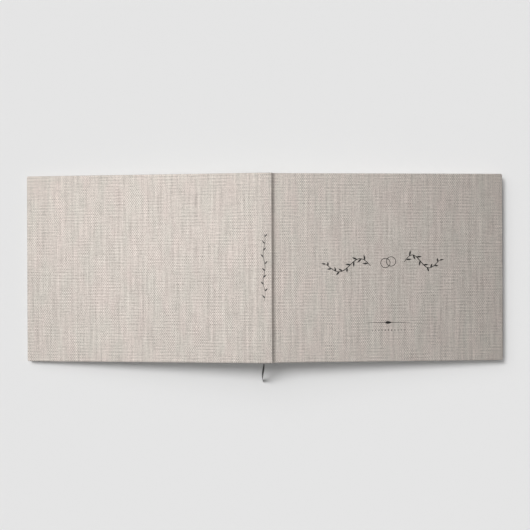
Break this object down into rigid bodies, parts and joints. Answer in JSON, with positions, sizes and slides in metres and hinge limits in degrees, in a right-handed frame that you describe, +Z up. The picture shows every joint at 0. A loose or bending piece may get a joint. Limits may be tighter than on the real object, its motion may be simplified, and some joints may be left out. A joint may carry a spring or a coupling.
{
  "type": "wedding guest book",
  "caption": "Landscape guest book with a linen hard cover, lying open and face down; covers and page halves swing shut, and a marker ribbon hangs from the tail.",
  "frame": {"origin": "on the table under the middle of the open book's box, without the free end of the ribbon", "axes": "+X from the spine to the front cover, +Y to the head of the book, +Z up, out of the spine's outer face"},
  "size_m": [0.5382, 0.2351, 0.039],
  "materials": {
    "linen_cloth": "matt book linen",
    "grey_board": "matt",
    "endpaper": "matt",
    "page_paper": "matt",
    "kraft_lining": "matt",
    "cotton_mull": "open weave",
    "linen_thread": "waxed",
    "black_ribbon": "satin",
    "black_foil": "pressed foil"
  },
  "bodies": {
    "spine": {"spine_board": "grey_board", "spine_cloth": "linen_cloth", "spine_lining": "kraft_lining", "mull": "cotton_mull", "sewing_tape_1": "cotton_mull", "sewing_tape_2": "cotton_mull", "sewing_tape_3": "cotton_mull", "sewing_thread": "linen_thread", "headband": "linen_thread", "tailband": "linen_thread", "ribbon": "black_ribbon", "ribbon_tail": "black_ribbon", "front_fold_1": "page_paper", "front_fold_2": "page_paper", "front_fold_3": "page_paper", "front_fold_4": "page_paper", "back_fold_1": "page_paper", "back_fold_2": "page_paper", "back_fold_3": "page_paper"},
    "front_pages": {"front_section_1": "page_paper", "front_section_2": "page_paper", "front_section_3": "page_paper", "front_section_4": "page_paper", "front_flyleaf": "endpaper"},
    "front_joint": {"front_joint_cloth": "linen_cloth"},
    "front_cover": {"front_board": "grey_board", "front_cover_cloth": "linen_cloth", "front_pastedown": "endpaper"},
    "back_pages": {"back_section_1": "page_paper", "back_section_2": "page_paper", "back_section_3": "page_paper", "back_flyleaf": "endpaper"},
    "back_joint": {"back_joint_cloth": "linen_cloth"},
    "back_cover": {"back_board": "grey_board", "back_cover_cloth": "linen_cloth", "back_pastedown": "endpaper"}
  },
  "joints": [
    {"name": "front_pages_close", "type": "hinge", "parent": "spine", "child": "front_pages", "pos_m": [0.00581, 0, 0.03062], "axis": [0, 1, 0], "range_deg": [0, 84.15]},
    {"name": "front_joint_close", "type": "hinge", "parent": "spine", "child": "front_joint", "pos_m": [0.0106, 0, 0.0351], "axis": [0, 1, 0], "range_deg": [0, 84.15]},
    {"name": "front_cover_lift", "type": "hinge", "parent": "front_joint", "child": "front_cover", "pos_m": [0.01551, 0, 0.033], "axis": [0, -1, 0], "range_deg": [0, 90]},
    {"name": "back_pages_close", "type": "hinge", "parent": "spine", "child": "back_pages", "pos_m": [-0.00327, 0, 0.03383], "axis": [0, -1, 0], "range_deg": [0, 82.91]},
    {"name": "back_joint_close", "type": "hinge", "parent": "spine", "child": "back_joint", "pos_m": [-0.00822, 0, 0.03825], "axis": [0, -1, 0], "range_deg": [0, 82.91]},
    {"name": "back_cover_lift", "type": "hinge", "parent": "back_joint", "child": "back_cover", "pos_m": [-0.01639, 0, 0.037], "axis": [0, 1, 0], "range_deg": [0, 90]}
  ],
  "couplings": [
    {"joint": "front_joint_close", "follows": "front_pages_close", "ratio": 1},
    {"joint": "back_joint_close", "follows": "back_pages_close", "ratio": 1}
  ]
}
